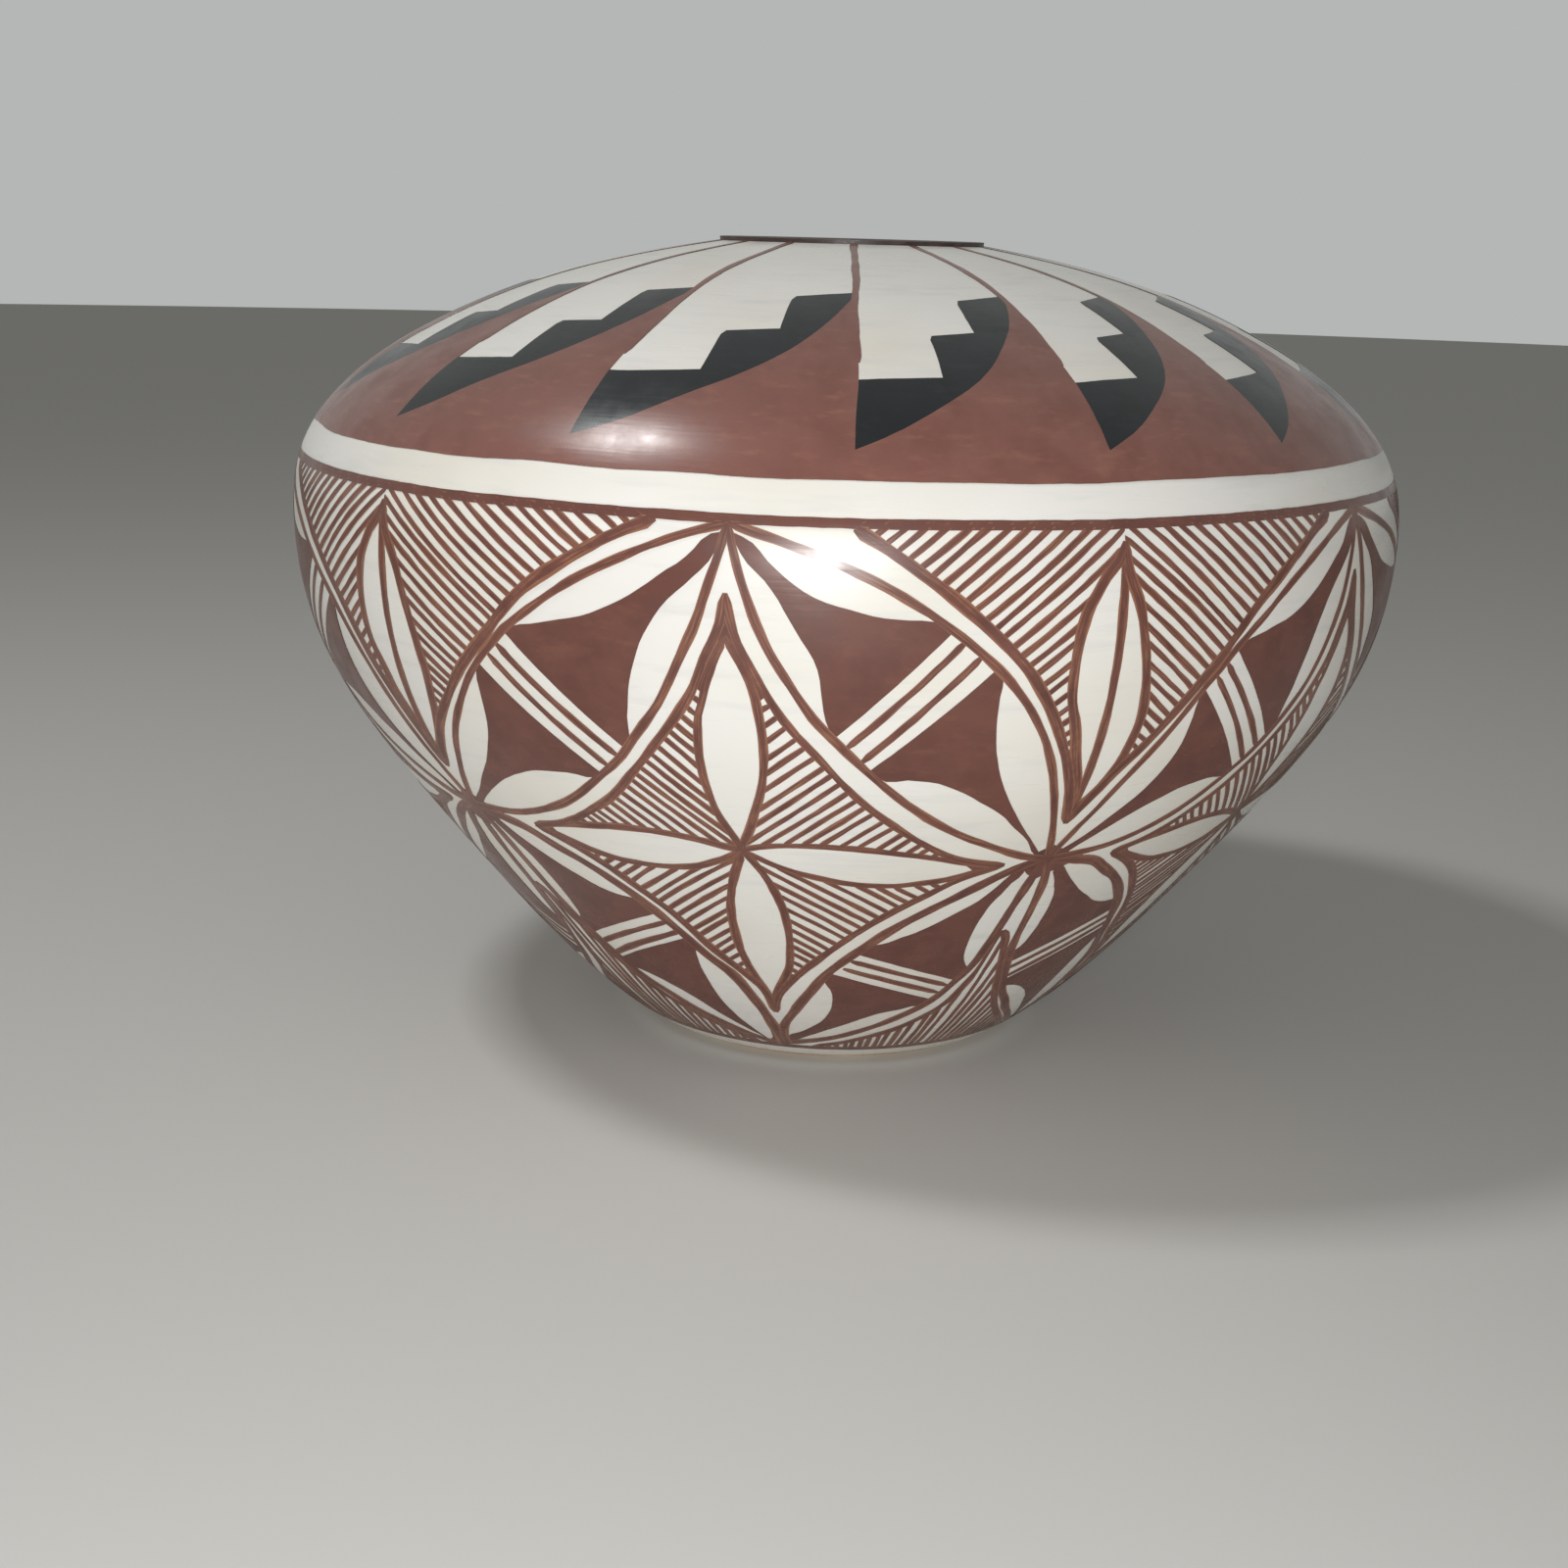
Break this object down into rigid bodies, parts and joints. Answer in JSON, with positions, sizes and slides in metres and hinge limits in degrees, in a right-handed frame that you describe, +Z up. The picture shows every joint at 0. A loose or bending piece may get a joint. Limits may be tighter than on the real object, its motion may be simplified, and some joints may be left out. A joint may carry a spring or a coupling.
{
  "type": "coiled pueblo pottery jar",
  "caption": "Squat coiled clay jar with a narrow mouth, white slip, a ring of stepped feathers on the shoulder and a painted diamond net below.",
  "frame": {"origin": "centre of the foot's resting face", "axes": "+Z up along the jar's axis, -Y towards the side that the picture shows"},
  "size_m": [0.1872, 0.1872, 0.1352],
  "materials": {
    "fired_clay": "matte, scraped and smoothed",
    "white_slip": "stone polished, satin",
    "red_brown_paint": "mineral paint, polished satin",
    "black_paint": "mineral paint, polished satin",
    "rim_paint": "mineral paint, polished satin"
  },
  "bodies": {
    "root": {"base_bowl": "fired_clay", "wall_coil_1": "fired_clay", "wall_coil_2": "fired_clay", "wall_coil_3": "fired_clay", "belly_coil": "fired_clay", "turn_coil": "fired_clay", "shoulder_coil_1": "fired_clay", "shoulder_coil_2": "fired_clay", "shoulder_coil_3": "fired_clay", "rim_coil": "fired_clay", "white_slip": "white_slip", "rim_line": "rim_paint", "shoulder_ground": "red_brown_paint", "feather_tips": "black_paint", "net_lines": "red_brown_paint", "net_fields": "red_brown_paint", "net_top_line": "red_brown_paint", "net_foot_line": "red_brown_paint"}
  },
  "joints": []
}
